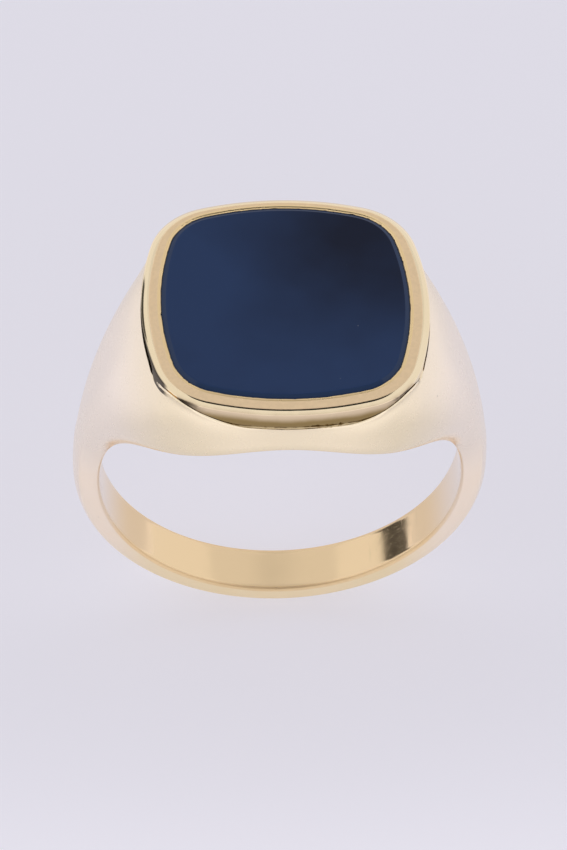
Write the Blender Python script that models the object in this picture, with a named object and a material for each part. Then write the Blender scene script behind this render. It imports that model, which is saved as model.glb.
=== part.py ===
"""A yellow-gold signet ring with a cushion-shaped dark blue stone, standing on its hoop.

Metres, +Z up through the stone, +Y along the finger, origin at the centre of the finger hole.
The ring body is a cast C: flat seat under the head, shoulders, and a hoop that is cut at the
bottom for finger size and soldered shut. A cushion frame is soldered on the seat. Inside it stand
the bearing ledge, a bed of cement, the stone and a thin lip that is rubbed over the stone's bevel.
"""

from math import asin, atan, atan2, cos, exp, hypot, log, pi, radians, sin, sqrt, tan

import bmesh
import bpy

MM = 0.001

# Hoop
BORE_RADIUS = 9.75 * MM
HOOP_THICKNESS_BOTTOM = 1.25 * MM
HOOP_THICKNESS_SIDE = 1.42 * MM
HOOP_HALF_WIDTH = 1.46 * MM
HOOP_EDGE_THICKNESS = 0.55 * MM
BORE_EDGE_BREAK = 0.20 * MM

# Head: the flat seat that the cushion frame is soldered on
SEAT_ABOVE_BORE = 1.83 * MM
WALL_DRAFT = 0.04 * MM

# Shoulders: how they leave the seat, reach the hoop and narrow on the way
SHOULDER_SLOPE = radians(52.2)
SHOULDER_UPPER_PULL = 2.20 * MM
SHOULDER_LOWER_PULL = 5.87 * MM
SHOULDER_CREST_END = radians(75.0)
SHOULDER_CREST_POWER = 1.12
SHOULDER_CORNER_SOFTNESS = 0.45 * MM
SHOULDER_EASE = 1.26 * MM
SHOULDER_EASE_ANGLE = radians(39.4)
SHOULDER_EASE_SPREAD = radians(17.0)
TAPER_BEYOND_HEAD = radians(20.7)
TAPER_POWER = 3.44

# Cushion frame: its width past the stone at the ring's sides and along the finger
FRAME_SIDE_WIDTH = 1.07 * MM
FRAME_END_WIDTH = 0.89 * MM
FRAME_HEIGHT = 1.20 * MM
FRAME_EDGE_ROUND = 0.32 * MM
FRAME_EDGE_DROP = 0.42 * MM
FRAME_FOOT_ROUND = 0.12 * MM

# Stone
STONE_HALF_LENGTH = 6.45 * MM
STONE_HALF_WIDTH = 6.55 * MM
STONE_CORNER_RADIUS = 2.80 * MM
STONE_SIDE_BULGE = 0.44 * MM
STONE_THICKNESS = 1.50 * MM
STONE_BEVEL_WIDTH = 0.34 * MM
STONE_BEVEL_DROP = 0.16 * MM
STONE_STANDS_PROUD = 0.05 * MM
STONE_BACK_BREAK = 0.08 * MM
STONE_SHIFT_ALONG_FINGER = 0.10 * MM

# Lip, ledge and cement
LIP_THICKNESS = 0.10 * MM
LIP_LAP = 0.06 * MM
LIP_CROWN = 0.02 * MM
LEDGE_HEIGHT = 0.65 * MM
LEDGE_WIDTH = 0.85 * MM
CEMENT_THICKNESS = 0.08 * MM
CEMENT_HALF_WIDTH = 0.28 * MM
BACK_OPENING_SETBACK = 0.15 * MM

# Solder
FRAME_SOLDER_THICKNESS = 0.08 * MM
FRAME_SOLDER_INSET = 0.10 * MM
SEAM_SOLDER_THICKNESS = 0.10 * MM

# Clearance between two pieces that touch
JOINT_GAP = 0.02 * MM

# Fineness
SEAT_STATIONS = 12
SHOULDER_STATIONS = 16
HOOP_STATIONS = 14
WALL_STEPS = 8
SIDE_STEPS = 6
CORNER_STEPS = 8

# Worked out from the sizes above
HEAD_HALF_LENGTH = STONE_HALF_LENGTH + FRAME_SIDE_WIDTH
HEAD_HALF_WIDTH = STONE_HALF_WIDTH + FRAME_END_WIDTH
HEAD_CORNER_RADIUS = STONE_CORNER_RADIUS + (FRAME_SIDE_WIDTH + FRAME_END_WIDTH) / 2
SEAT_Z = BORE_RADIUS + SEAT_ABOVE_BORE
SEAT_EDGE_ANGLE = atan(HEAD_HALF_LENGTH / SEAT_Z)
SHOULDER_CORNER_FALL = hypot(HEAD_HALF_LENGTH, SEAT_Z) * tan(SHOULDER_SLOPE - SEAT_EDGE_ANGLE)
TAPER_ANGLE = SEAT_EDGE_ANGLE + TAPER_BEYOND_HEAD
FRAME_FOOT_Z = SEAT_Z + FRAME_SOLDER_THICKNESS + 2 * JOINT_GAP
RIM_Z = FRAME_FOOT_Z + FRAME_HEIGHT
TABLE_Z = RIM_Z + STONE_STANDS_PROUD
STONE_BACK_Z = TABLE_Z - STONE_THICKNESS
CEMENT_TOP_Z = STONE_BACK_Z - JOINT_GAP
LEDGE_TOP_Z = CEMENT_TOP_Z - CEMENT_THICKNESS - JOINT_GAP
LEDGE_FOOT_Z = LEDGE_TOP_Z - LEDGE_HEIGHT
POCKET_FLOOR_Z = LEDGE_FOOT_Z - JOINT_GAP
LIP_INNER = LIP_LAP + JOINT_GAP
LIP_OUTER = LIP_INNER + LIP_THICKNESS
POCKET_OFFSET = LIP_OUTER + JOINT_GAP
LEDGE_INNER = LIP_OUTER - LEDGE_WIDTH
FRAME_NARROWEST = FRAME_END_WIDTH - STONE_SHIFT_ALONG_FINGER - POCKET_OFFSET
EDGE_ROUND = min(FRAME_EDGE_ROUND, 0.8 * FRAME_NARROWEST)
SEAM_HALF_ANGLE = asin((SEAM_SOLDER_THICKNESS / 2 + JOINT_GAP) / BORE_RADIUS)


class Cushion:
    """A square with bulging sides and round corners, which can be offset outwards or inwards."""

    def __init__(self, half_length, half_width, corner_radius, side_bulge, shift_y=0.0):
        self.half_length = half_length
        self.half_width = half_width
        self.corner_radius = corner_radius
        self.side_bulge = side_bulge
        self.shift_y = shift_y

    def corner_centre(self):
        return (
            self.half_length - self.corner_radius - self.side_bulge,
            self.half_width - self.corner_radius - self.side_bulge,
        )

    def side_arc(self, half_span):
        """Radius of a side, without its corner offset, and the half angle that it turns through."""
        bulge = self.side_bulge
        radius = (half_span**2 + bulge**2) / (2 * bulge)
        return radius, asin(half_span / radius)

    def directions(self):
        """Points on the inner pillow with their outward normals, counter-clockwise from +X."""
        cx, cy = self.corner_centre()
        right_radius, right_turn = self.side_arc(cy)
        top_radius, top_turn = self.side_arc(cx)
        right_hub = cx + self.side_bulge - right_radius
        top_hub = cy + self.side_bulge - top_radius
        half = []
        for step in range(SIDE_STEPS):
            angle = -right_turn + 2 * right_turn * step / SIDE_STEPS
            point = (right_hub + right_radius * cos(angle), right_radius * sin(angle))
            half.append((point, angle))
        corner_turn = pi / 2 - right_turn - top_turn
        for step in range(CORNER_STEPS):
            half.append(((cx, cy), right_turn + corner_turn * step / CORNER_STEPS))
        for step in range(SIDE_STEPS):
            angle = pi / 2 - top_turn + 2 * top_turn * step / SIDE_STEPS
            point = (top_radius * cos(angle), top_hub + top_radius * sin(angle))
            half.append((point, angle))
        for step in range(CORNER_STEPS):
            angle = pi / 2 + top_turn + corner_turn * step / CORNER_STEPS
            half.append(((-cx, cy), angle))
        turned = [((-x, -y), angle + pi) for (x, y), angle in half]
        return half + turned

    def outline(self, offset):
        """The outline moved outwards by offset, as (x, y) pairs."""
        reach = self.corner_radius + offset
        points = []
        for (x, y), angle in self.directions():
            points.append((x + reach * cos(angle), y + reach * sin(angle) + self.shift_y))
        return points

    def half_width_at(self, x):
        """Half the cushion's width at x, found on its top side or on its corner."""
        cx, cy = self.corner_centre()
        top_radius, top_turn = self.side_arc(cx)
        reach = top_radius + self.corner_radius
        if abs(x) <= reach * sin(top_turn):
            return cy + self.side_bulge - top_radius + sqrt(reach**2 - x**2)
        return cy + sqrt(max(self.corner_radius**2 - (abs(x) - cx) ** 2, 0.0))


HEAD = Cushion(HEAD_HALF_LENGTH, HEAD_HALF_WIDTH, HEAD_CORNER_RADIUS, STONE_SIDE_BULGE)
STONE = Cushion(
    STONE_HALF_LENGTH,
    STONE_HALF_WIDTH,
    STONE_CORNER_RADIUS,
    STONE_SIDE_BULGE,
    STONE_SHIFT_ALONG_FINGER,
)


def clear_scene():
    for item in list(bpy.data.objects):
        bpy.data.objects.remove(item, do_unlink=True)


def metal(name, colour, roughness):
    return surface(name, colour, roughness, 1.0)


def surface(name, colour, roughness, metallic):
    material = bpy.data.materials.new(name)
    material.use_nodes = True
    shader = material.node_tree.nodes["Principled BSDF"]
    shader.inputs["Base Color"].default_value = (*colour, 1.0)
    shader.inputs["Roughness"].default_value = roughness
    shader.inputs["Metallic"].default_value = metallic
    return material


def add_loop(mesh, points):
    return [mesh.verts.new(point) for point in points]


def bridge(mesh, first, second):
    """A strip of four-sided faces between two loops with the same number of points."""
    for i in range(len(first)):
        j = (i + 1) % len(first)
        mesh.faces.new((first[i], first[j], second[j], second[i]))


def cap(mesh, loop):
    bmesh.ops.contextual_create(mesh, geom=loop)


def finish(name, mesh, material, parent, smooth_below=radians(30)):
    """Turn the faces outwards and put the mesh in a named object of its own."""
    bmesh.ops.recalc_face_normals(mesh, faces=mesh.faces)
    data = bpy.data.meshes.new(name)
    mesh.to_mesh(data)
    mesh.free()
    data.shade_smooth()
    data.set_sharp_from_angle(angle=smooth_below)
    data.materials.append(material)
    item = bpy.data.objects.new(name, data)
    item.parent = parent
    bpy.context.collection.objects.link(item)
    return item


def swept_ring(name, cushion, profile, material, parent):
    """A closed band: the profile's (offset, z) points carried round the cushion."""
    mesh = bmesh.new()
    loops = []
    for offset, z in profile:
        loops.append(add_loop(mesh, [(x, y, z) for x, y in cushion.outline(offset)]))
    for first, second in zip(loops, loops[1:] + loops[:1]):
        bridge(mesh, first, second)
    return finish(name, mesh, material, parent)


def stacked_solid(name, cushion, profile, material, parent):
    """A capped solid: cushion outlines stacked from the bottom to the top."""
    mesh = bmesh.new()
    loops = []
    for offset, z in profile:
        loops.append(add_loop(mesh, [(x, y, z) for x, y in cushion.outline(offset)]))
    for first, second in zip(loops, loops[1:]):
        bridge(mesh, first, second)
    cap(mesh, loops[0])
    cap(mesh, loops[-1])
    return finish(name, mesh, material, parent)


def half_width(angle):
    """Half the ring's width at the bore, from the head at 0 to the bottom at pi."""
    head = HEAD_HALF_WIDTH - WALL_DRAFT
    fall = exp(-((angle / TAPER_ANGLE) ** TAPER_POWER))
    return HOOP_HALF_WIDTH + (head - HOOP_HALF_WIDTH) * fall


def shoulder_point(share):
    """A point (x, z) on the shoulder's crest, from the seat's edge to the side of the hoop."""
    side = BORE_RADIUS + HOOP_THICKNESS_SIDE
    start = (HEAD_HALF_LENGTH, SEAT_Z)
    leave = (
        start[0] + SHOULDER_UPPER_PULL * cos(SHOULDER_SLOPE),
        start[1] - SHOULDER_UPPER_PULL * sin(SHOULDER_SLOPE),
    )
    arrive = (side, SHOULDER_LOWER_PULL)
    end = (side, 0.0)
    rest = 1 - share
    weights = (rest**3, 3 * rest**2 * share, 3 * rest * share**2, share**3)
    corners = (start, leave, arrive, end)
    return tuple(sum(w * c[axis] for w, c in zip(weights, corners)) for axis in range(2))


def crest_half_width(angle):
    """Half the flat along the shoulder's crest, which fades towards the side of the hoop."""
    share = (angle - SEAT_EDGE_ANGLE) / (SHOULDER_CREST_END - SEAT_EDGE_ANGLE)
    return HEAD.corner_centre()[1] * max(1 - share, 0.0) ** SHOULDER_CREST_POWER


def softened_outer(angle, outer):
    """The outer radius that the walls lean on, rounded off at the seat's edge and its corners."""
    seat = SEAT_Z / max(cos(angle), 0.05)
    fall = SHOULDER_CORNER_FALL * (angle - SEAT_EDGE_ANGLE)
    shoulder = outer if angle > SEAT_EDGE_ANGLE else SEAT_Z / cos(SEAT_EDGE_ANGLE) - fall
    soft = SHOULDER_CORNER_SOFTNESS
    nearer = min(seat, shoulder)
    ease = SHOULDER_EASE * exp(-(((angle - SHOULDER_EASE_ANGLE) / SHOULDER_EASE_SPREAD) ** 2))
    return nearer - soft * log(1 + exp(-abs(seat - shoulder) / soft)) - ease


def stations():
    """(angle, outer radius, half flat width) from the middle of the head to the seam."""
    found = []
    for step in range(SEAT_STATIONS):
        x = HEAD_HALF_LENGTH * sin(pi / 2 * step / SEAT_STATIONS)
        found.append((atan(x / SEAT_Z), hypot(x, SEAT_Z), HEAD.half_width_at(x)))
    for step in range(SHOULDER_STATIONS + 1):
        x, z = shoulder_point(step / SHOULDER_STATIONS)
        angle = atan2(x, z)
        found.append((angle, hypot(x, z), crest_half_width(angle)))
    last = pi - SEAM_HALF_ANGLE
    for step in range(1, HOOP_STATIONS + 1):
        angle = pi / 2 + (last - pi / 2) * step / HOOP_STATIONS
        found.append((angle, hoop_outer_radius(angle), 0.0))
    return found


def hoop_outer_radius(angle):
    swell = (HOOP_THICKNESS_SIDE - HOOP_THICKNESS_BOTTOM) * sin(angle) ** 2
    return BORE_RADIUS + HOOP_THICKNESS_BOTTOM + swell


def section(angle, outer, flat):
    """The closed section at an angle, as (y, radius): bore, broken edges, walls and crest."""
    width = half_width(angle)
    edge = BORE_RADIUS + HOOP_EDGE_THICKNESS
    lean = softened_outer(angle, outer)
    side = [(width - BORE_EDGE_BREAK, BORE_RADIUS), (width, BORE_RADIUS + BORE_EDGE_BREAK)]
    for step in range(WALL_STEPS + 1):
        share = step / WALL_STEPS
        radius = edge * (1 - share) ** 2 + 2 * lean * share * (1 - share) + outer * share**2
        side.append((width - (width - flat) * share**2, radius))
    if flat == 0.0:
        return side + [(-y, r) for y, r in side[-2::-1]]
    return side + [(-y, r) for y, r in side[::-1]]


def placed(angle, points):
    return [(r * sin(angle), y, r * cos(angle)) for y, r in points]


def hoop_loft(name, rows, material, parent):
    """Sections joined in order, with both ends closed."""
    mesh = bmesh.new()
    rings = [add_loop(mesh, row) for row in rows]
    for near, far in zip(rings, rings[1:]):
        join_rings(mesh, near, far)
    cap(mesh, rings[0])
    cap(mesh, rings[-1])
    return finish(name, mesh, material, parent)


def join_rings(mesh, near, far):
    """Faces between two sections. The one with a flat crest has one point more than the other."""
    count = len(near)
    if len(far) == count:
        bridge(mesh, near, far)
        return
    long, short = (near, far) if count > len(far) else (far, near)
    middle = len(short) // 2
    for i in range(len(long)):
        j = (i + 1) % len(long)
        a = i if i <= middle else i - 1
        b = j if j <= middle else j - 1
        corners = [long[i], long[j], short[b]] + ([short[a]] if a != b else [])
        mesh.faces.new(corners)


def cut(body, cutter):
    """Take the cutter out of the body for good."""
    modifier = body.modifiers.new("cut_" + cutter.name, "BOOLEAN")
    modifier.operation = "DIFFERENCE"
    modifier.solver = "EXACT"
    modifier.object = cutter
    cutter.hide_render = True
    cutter.display_type = "WIRE"


def ring_body(gold, parent):
    """The cast body: hoop, shoulders and head, hollowed for the ledge and open at the back."""
    half = stations()
    rows = [placed(-angle, section(angle, outer, flat)) for angle, outer, flat in half[:0:-1]]
    rows += [placed(angle, section(angle, outer, flat)) for angle, outer, flat in half]
    body = hoop_loft("ring_body", rows, gold, parent)
    pocket = [(POCKET_OFFSET, POCKET_FLOOR_Z), (POCKET_OFFSET, SEAT_Z + HOOP_THICKNESS_SIDE)]
    cut(body, stacked_solid("pocket_cutter", STONE, pocket, gold, parent))
    opening_offset = LEDGE_INNER - BACK_OPENING_SETBACK
    opening = [(opening_offset, 0.0), (opening_offset, POCKET_FLOOR_Z + HOOP_THICKNESS_SIDE / 2)]
    cut(body, stacked_solid("back_opening_cutter", STONE, opening, gold, parent))
    return body


def seam_solder(solder, parent):
    """The thin wafer that closes the hoop at the bottom."""
    half_turn = asin(SEAM_SOLDER_THICKNESS / 2 / BORE_RADIUS)
    rows = []
    for angle in (pi - half_turn, pi + half_turn):
        rows.append(placed(angle, section(pi, hoop_outer_radius(pi), 0.0)))
    return hoop_loft("hoop_seam_solder", rows, solder, parent)


def frame_solder(solder, parent):
    """The solder between the seat and the cushion frame's foot."""
    low = SEAT_Z + JOINT_GAP
    high = low + FRAME_SOLDER_THICKNESS
    outer = -FRAME_SOLDER_INSET
    inner = inner_offset(POCKET_OFFSET)
    profile = [(inner, low), (outer, low), (outer, high), (inner, high)]
    return two_outline_band("frame_solder", profile, solder, parent)


def inner_offset(offset):
    """Marks an offset that is measured from the stone's outline instead of the head's."""
    return ("stone", offset)


def two_outline_band(name, profile, material, parent):
    """A band whose outer points follow the head's cushion and whose inner ones the stone's."""
    mesh = bmesh.new()
    loops = []
    for offset, z in profile:
        inner = isinstance(offset, tuple)
        outline = STONE.outline(offset[1]) if inner else HEAD.outline(offset)
        loops.append(add_loop(mesh, [(x, y, z) for x, y in outline]))
    for first, second in zip(loops, loops[1:] + loops[:1]):
        bridge(mesh, first, second)
    return finish(name, mesh, material, parent)


def bezel_frame(gold, parent):
    """The cushion frame: a flat rim with a rolled outer edge and a small round at its foot."""
    inner = inner_offset(POCKET_OFFSET)
    profile = [(inner, FRAME_FOOT_Z), (-FRAME_FOOT_ROUND, FRAME_FOOT_Z)]
    profile.append((-FRAME_FOOT_ROUND * 0.3, FRAME_FOOT_Z + FRAME_FOOT_ROUND * 0.3))
    profile.append((0.0, FRAME_FOOT_Z + FRAME_FOOT_ROUND))
    steps = 6
    for step in range(steps + 1):
        turn = pi / 2 * step / steps
        offset = -EDGE_ROUND * (1 - cos(turn))
        profile.append((offset, RIM_Z - FRAME_EDGE_DROP * (1 - sin(turn))))
    profile.append((inner, RIM_Z))
    return two_outline_band("bezel_frame", profile, gold, parent)


def bearing_ledge(gold, parent):
    """The ring-shaped seat inside the head that carries the stone."""
    profile = [
        (LEDGE_INNER, LEDGE_FOOT_Z),
        (LIP_OUTER, LEDGE_FOOT_Z),
        (LIP_OUTER, LEDGE_TOP_Z),
        (LEDGE_INNER, LEDGE_TOP_Z),
    ]
    return swept_ring("bearing_ledge", STONE, profile, gold, parent)


def cement_bed(cement, parent):
    """The thin bed between the ledge and the back of the stone."""
    low = LEDGE_TOP_Z + JOINT_GAP
    middle = (LEDGE_INNER + LIP_INNER) / 2
    inner = middle - CEMENT_HALF_WIDTH
    outer = middle + CEMENT_HALF_WIDTH
    profile = [(inner, low), (outer, low), (outer, CEMENT_TOP_Z), (inner, CEMENT_TOP_Z)]
    return swept_ring("cement_bed", STONE, profile, cement, parent)


def bezel_lip(gold, parent):
    """The thin strip round the stone, rubbed inwards over its bevel."""
    foot = LEDGE_TOP_Z + JOINT_GAP
    bevel_foot = TABLE_Z - STONE_BEVEL_DROP
    bevel_rise = STONE_BEVEL_DROP * LIP_LAP / STONE_BEVEL_WIDTH
    crown = RIM_Z + LIP_CROWN
    profile = [
        (LIP_INNER, foot),
        (LIP_OUTER, foot),
        (LIP_OUTER, RIM_Z),
        ((LIP_OUTER + LIP_INNER) / 2, crown),
        (0.0, bevel_foot + bevel_rise + 2 * JOINT_GAP),
        (LIP_INNER, bevel_foot),
    ]
    return swept_ring("bezel_lip", STONE, profile, gold, parent)


def seal_stone(stone, parent):
    """The stone: a flat table, a shallow bevel, upright sides and a flat back."""
    table = LIP_LAP - STONE_BEVEL_WIDTH
    profile = [
        (LIP_LAP - STONE_BACK_BREAK, STONE_BACK_Z),
        (LIP_LAP, STONE_BACK_Z + STONE_BACK_BREAK),
        (LIP_LAP, TABLE_Z - STONE_BEVEL_DROP),
        (table, TABLE_Z),
    ]
    return stacked_solid("seal_stone", STONE, profile, stone, parent)


def main():
    clear_scene()
    centre = bpy.data.objects.new("finger_centre", None)
    bpy.context.collection.objects.link(centre)
    gold = metal("yellow_gold", (0.86, 0.68, 0.40), 0.22)
    rim_gold = metal("rim_gold", (0.84, 0.66, 0.44), 0.30)
    fine_gold = metal("fine_gold", (0.92, 0.66, 0.26), 0.25)
    solder = metal("gold_solder", (0.78, 0.62, 0.38), 0.35)
    cement = surface("cement", (0.05, 0.05, 0.05), 0.6, 0.0)
    stone = surface("navy_stone", (0.012, 0.022, 0.055), 0.12, 0.0)
    ring_body(gold, centre)
    seam_solder(solder, centre)
    frame_solder(solder, centre)
    bezel_frame(rim_gold, centre)
    bearing_ledge(gold, centre)
    cement_bed(cement, centre)
    bezel_lip(fine_gold, centre)
    seal_stone(stone, centre)


main()
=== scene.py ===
"""The looks of a yellow-gold signet ring with a dark blue cushion-shaped stone.

Every piece is made again, finely, in the place and at the size that the CAD frame gives it, and
dressed in a procedural finish. Lengths are metres; the millimetre constant keeps small ones plain.
"""

import logging
from dataclasses import dataclass, field
from enum import Enum
from math import asin, atan, atan2, cos, exp, hypot, log, pi, radians, sin, sqrt, tan
from typing import Iterable

import bmesh
import bpy
from mathutils import Matrix, Vector, noise


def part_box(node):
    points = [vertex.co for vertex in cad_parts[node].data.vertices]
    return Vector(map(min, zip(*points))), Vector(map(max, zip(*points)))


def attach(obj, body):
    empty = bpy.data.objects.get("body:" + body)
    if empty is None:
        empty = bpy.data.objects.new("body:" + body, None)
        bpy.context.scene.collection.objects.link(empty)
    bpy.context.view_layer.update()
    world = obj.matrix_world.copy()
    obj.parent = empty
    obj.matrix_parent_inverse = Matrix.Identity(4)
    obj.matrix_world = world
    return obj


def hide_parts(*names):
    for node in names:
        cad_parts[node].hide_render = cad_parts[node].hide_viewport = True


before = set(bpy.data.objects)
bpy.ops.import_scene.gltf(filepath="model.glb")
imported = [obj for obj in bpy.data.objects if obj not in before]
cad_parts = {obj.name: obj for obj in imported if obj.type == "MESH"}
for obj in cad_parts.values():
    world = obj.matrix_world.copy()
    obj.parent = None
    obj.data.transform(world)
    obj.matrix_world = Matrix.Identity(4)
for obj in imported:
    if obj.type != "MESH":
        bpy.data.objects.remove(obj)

MM = 0.001
ROOT = "root"
LOG = logging.getLogger("signet_ring")

Point = tuple[float, float, float]
Pair = tuple[float, float]
Socket = bpy.types.NodeSocket

JOINT_GAP = 0.02 * MM
GIRDLE = 0.06 * MM  # how far the stone's girdle stands out past the edge that the lip covers
STONE_CORNER = 2.80 * MM
STONE_BULGE = 0.44 * MM
SEAM_HALF = 0.06 * MM
WELD = 0.002 * MM
UNTURNED: Point = (0.0, 0.0, 0.0)
MIDDLE: Pair = (0.3, 0.7)  # where most of a noise's values lie


class PanelShape(Enum):
    """The outline of a tent panel."""

    SQUARE = "square"
    ROUND = "round"


class Ends(Enum):
    """How the first and the last loop of a piece are closed."""

    JOINED = "joined"
    CAPPED = "capped"


class Axis(Enum):
    """An object coordinate, by its place in the vector."""

    X = 0
    Y = 1
    Z = 2


def eased(share: float) -> float:
    """A share held between 0 and 1, with soft ends."""
    held = min(max(share, 0.0), 1.0)
    return held * held * (3.0 - 2.0 * held)


def squares(span: Pair) -> Pair:
    """Both ends of a span, squared."""
    return span[0] ** 2, span[1] ** 2


def pushed(point: Point, push: float, lift: float = 0.0) -> Point:
    """A point moved away from the upright axis, and up.

    Args:
        point: where it was.
        push: how far outwards.
        lift: how far up.

    Returns:
        Where it is now.
    """
    x, y, z = point
    grow = 1 + push / hypot(x, y)
    return x * grow, y * grow, z + lift


# ---------------------------------------------------------------------------
# Bench: operators that every piece is made with
# ---------------------------------------------------------------------------


class Bench:
    """The modelling steps that the pieces share."""

    @staticmethod
    def clear_selection() -> None:
        """Deselect every object and leave edit mode."""
        if bpy.context.object is not None and bpy.context.object.mode != "OBJECT":
            bpy.ops.object.mode_set(mode="OBJECT")
        bpy.ops.object.select_all(action="DESELECT")

    @staticmethod
    def pick(piece: bpy.types.Object) -> None:
        """Make one object the only selected and active one.

        Args:
            piece: the object.
        """
        Bench.clear_selection()
        piece.select_set(True)
        bpy.context.view_layer.objects.active = piece

    @staticmethod
    def first_loop(name: str, points: list[Point]) -> bpy.types.Object:
        """A closed wire loop through the points.

        Args:
            name: the piece's name.
            points: the loop's corners in order.

        Returns:
            The new object, at the origin, in object mode.
        """
        Bench.clear_selection()
        bpy.ops.mesh.primitive_circle_add(vertices=len(points), radius=1.0, fill_type="NOTHING")
        piece = bpy.context.object
        piece.name = name
        piece.data.name = name
        for vertex, point in zip(piece.data.vertices, points):
            vertex.co = point
        return piece

    @staticmethod
    def carry(piece: bpy.types.Object, loops: list[list[Point]]) -> None:
        """Extrude the piece's open loop through the other loops, one after another.

        Args:
            piece: an object that holds one closed wire loop.
            loops: the places of the following loops, each as long as the first.
        """
        Bench.pick(piece)
        bpy.ops.object.mode_set(mode="EDIT")
        bpy.ops.mesh.select_mode(type="VERT")
        bpy.ops.mesh.select_all(action="SELECT")
        for loop in loops:
            bpy.ops.mesh.extrude_edges_move()
            shape = bmesh.from_edit_mesh(piece.data)
            fresh = [vertex for vertex in shape.verts if vertex.select]
            fresh.sort(key=lambda vertex: vertex.index)
            for vertex, point in zip(fresh, loop):
                vertex.co = point
            bmesh.update_edit_mesh(piece.data)
        bpy.ops.object.mode_set(mode="OBJECT")

    @staticmethod
    def edit_boundary(piece: bpy.types.Object) -> None:
        """Enter edit mode with only the open edges selected.

        Args:
            piece: the object to edit.
        """
        Bench.pick(piece)
        bpy.ops.object.mode_set(mode="EDIT")
        bpy.ops.mesh.select_mode(type="EDGE")
        bpy.ops.mesh.select_all(action="DESELECT")
        bpy.ops.mesh.select_non_manifold(
            extend=False, use_wire=False, use_multi_face=False, use_non_contiguous=False, use_verts=False
        )

    @staticmethod
    def close_edit() -> None:
        """Turn all faces outwards and leave edit mode."""
        bpy.ops.mesh.select_all(action="SELECT")
        bpy.ops.mesh.normals_make_consistent(inside=False)
        bpy.ops.mesh.select_all(action="DESELECT")
        bpy.ops.object.mode_set(mode="OBJECT")

    @staticmethod
    def apply(piece: bpy.types.Object, modifier: bpy.types.Modifier) -> None:
        """Apply one modifier."""
        Bench.pick(piece)
        bpy.ops.object.modifier_apply(modifier=modifier.name)

    @staticmethod
    def cut(piece: bpy.types.Object, cutter: bpy.types.Object) -> None:
        """Take the cutter's shape out of the piece and throw the cutter away.

        Args:
            piece: what is cut.
            cutter: the shape to take out.
        """
        modifier = piece.modifiers.new("cut", "BOOLEAN")
        modifier.operation = "DIFFERENCE"
        modifier.solver = "EXACT"
        modifier.object = cutter
        Bench.apply(piece, modifier)
        bpy.data.objects.remove(cutter, do_unlink=True)

    @staticmethod
    def close(piece: bpy.types.Object, ends: Ends) -> None:
        """Close the two open loops of a tube.

        Args:
            piece: the tube.
            ends: bridged to each other, or each filled with a flat face.
        """
        Bench.edit_boundary(piece)
        if ends is Ends.JOINED:
            bpy.ops.mesh.bridge_edge_loops()
        else:
            bpy.ops.mesh.fill_holes(sides=0)
        Bench.close_edit()

    @staticmethod
    def shade(piece: bpy.types.Object, angle: float) -> None:
        """Shade the piece smooth, with sharp edges above an angle."""
        Bench.pick(piece)
        bpy.ops.object.shade_smooth_by_angle(angle=angle)


# ---------------------------------------------------------------------------
# Finishes
# ---------------------------------------------------------------------------


class NodeWriter:
    """Writes nodes into one tree."""

    def __init__(self, tree: bpy.types.NodeTree) -> None:
        """Keep the tree."""
        self.tree = tree

    def link(self, source: Socket, target: Socket) -> None:
        """Join two sockets."""
        self.tree.links.new(source, target)

    def math(self, operation: str, first: Socket, second: Socket) -> Socket:
        """One arithmetic step on two values.

        Args:
            operation: the node's own name for the step.
            first: the first value.
            second: the second value.

        Returns:
            The result.
        """
        node = self.tree.nodes.new("ShaderNodeMath")
        node.operation = operation
        self.link(first, node.inputs[0])
        self.link(second, node.inputs[1])
        return node.outputs[0]

    def sum(self, first: Socket, second: Socket) -> Socket:
        """Add two values."""
        return self.math("ADD", first, second)

    def product(self, first: Socket, second: Socket) -> Socket:
        """Multiply two values."""
        return self.math("MULTIPLY", first, second)

    def squared(self, value: Socket) -> Socket:
        """A value times itself."""
        return self.product(value, value)

    def size_of(self, value: Socket) -> Socket:
        """A value without its sign."""
        return self.math("ABSOLUTE", value, value)

    def spread(self, source: Socket, low: float, high: float, to_low: float, to_high: float) -> Socket:
        """Stretch a value from one range to another, clamped, with soft ends.

        Args:
            source: the value.
            low: start of its range.
            high: end of its range.
            to_low: what the start becomes.
            to_high: what the end becomes.

        Returns:
            The stretched value.
        """
        remap = self.tree.nodes.new("ShaderNodeMapRange")
        remap.interpolation_type = "SMOOTHSTEP"
        remap.inputs["From Min"].default_value = low
        remap.inputs["From Max"].default_value = high
        remap.inputs["To Min"].default_value = to_low
        remap.inputs["To Max"].default_value = to_high
        self.link(source, remap.inputs["Value"])
        return remap.outputs["Result"]

    def mix(self, share: Socket, first: Socket | Point, second: Socket | Point) -> Socket:
        """A colour between two.

        Args:
            share: how much of the second, from 0 to 1.
            first: a colour, or a socket that carries one.
            second: a colour, or a socket that carries one.

        Returns:
            The mixed colour.
        """
        node = self.tree.nodes.new("ShaderNodeMix")
        node.data_type = "RGBA"
        self.link(share, node.inputs["Factor"])
        for name, colour in (("A", first), ("B", second)):
            if isinstance(colour, tuple):
                node.inputs[name].default_value = (*colour, 1.0)
            else:
                self.link(colour, node.inputs[name])
        return node.outputs["Result"]


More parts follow.
